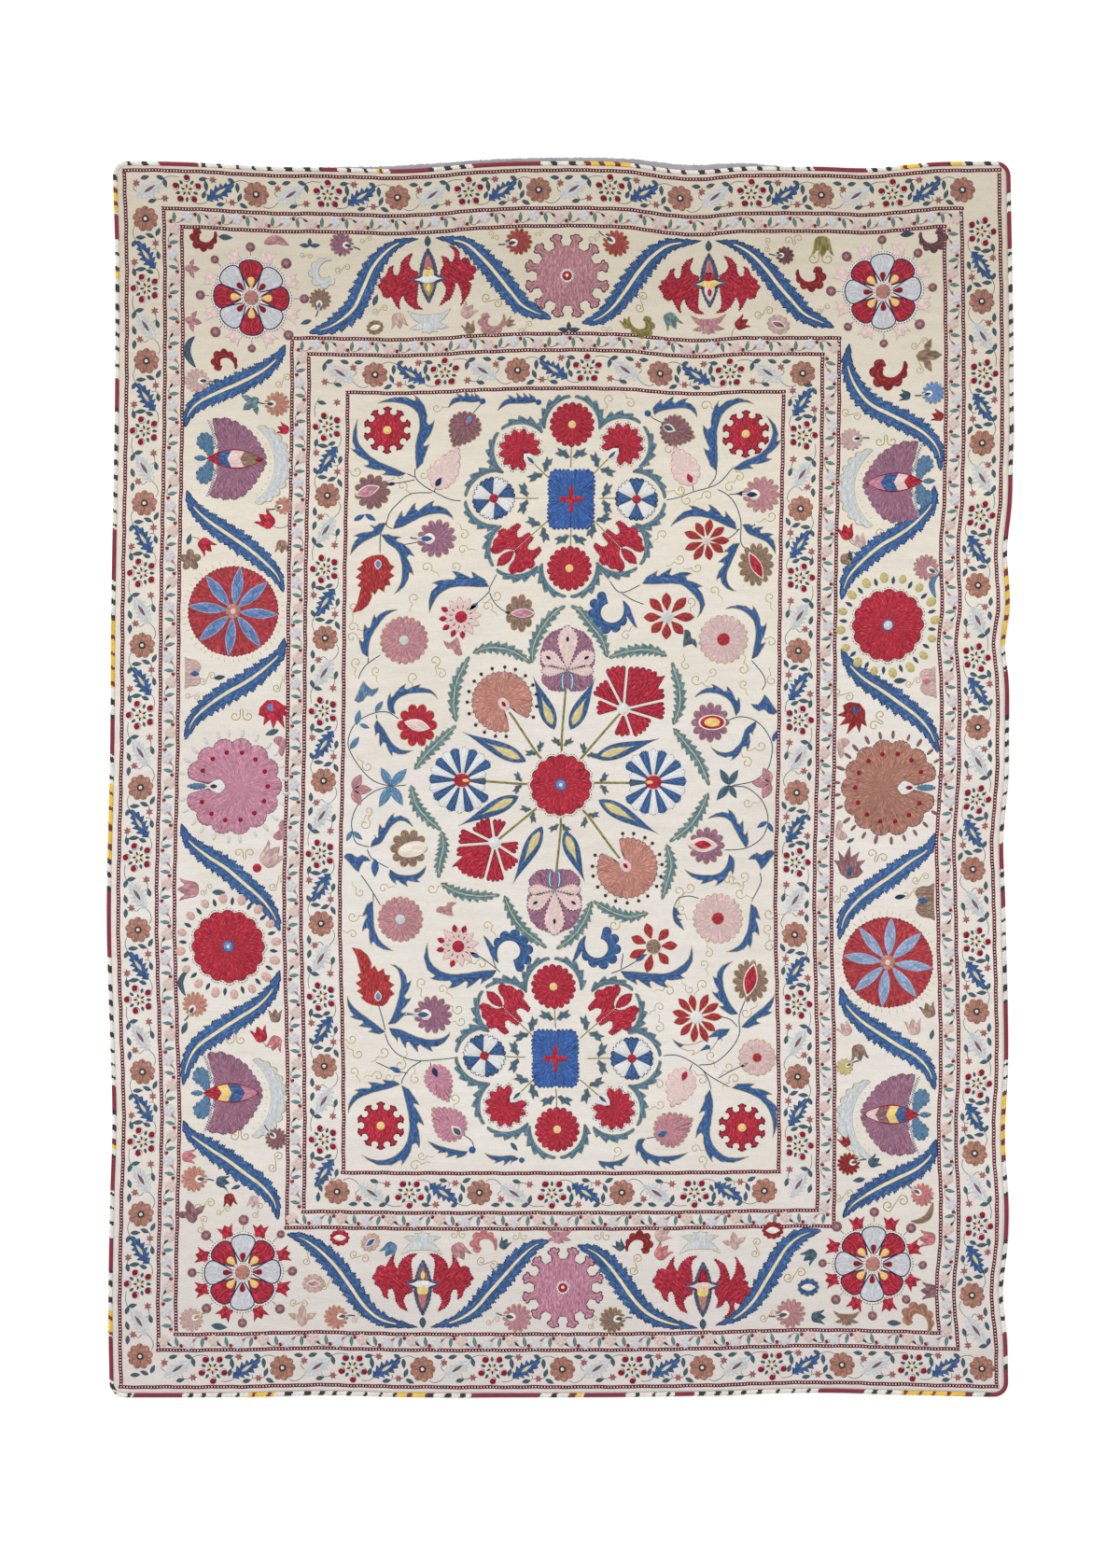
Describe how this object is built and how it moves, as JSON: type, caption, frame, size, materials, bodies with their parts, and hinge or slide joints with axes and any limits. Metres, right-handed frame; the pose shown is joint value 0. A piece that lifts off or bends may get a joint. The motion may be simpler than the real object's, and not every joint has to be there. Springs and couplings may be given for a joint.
{
  "type": "suzani embroidered textile",
  "caption": "Large rectangular cotton cloth with an embroidered field and floral borders, a narrow striped braid sewn round its edge and a heading tape behind its top, laid out face up.",
  "frame": {"origin": "under the middle of the piece, on the surface it lies on", "axes": "+X across the cloth to its right, +Y up the cloth towards its heading, +Z out of its embroidered face"},
  "size_m": [1.9426, 2.657, 0.0129],
  "materials": {
    "ground_cotton": "cream plain-weave cotton, matt, lightly creased",
    "silk_embroidery": "silk chain stitch in crimson, blues, teal, mauve, salmon, yellow and olive, softly shiny along the stitches",
    "edging_braid": "narrow silk and cotton braid in lengths of crimson, black-barred white and crimson-barred yellow",
    "heading_tape": "grey woven cotton tape with a worn upper edge, matt"
  },
  "bodies": {
    "root": {"ground_cloth": "ground_cotton", "braid_top": "edging_braid", "braid_left": "edging_braid", "braid_bottom": "edging_braid", "braid_right": "edging_braid", "heading_tape": "heading_tape"}
  },
  "joints": []
}
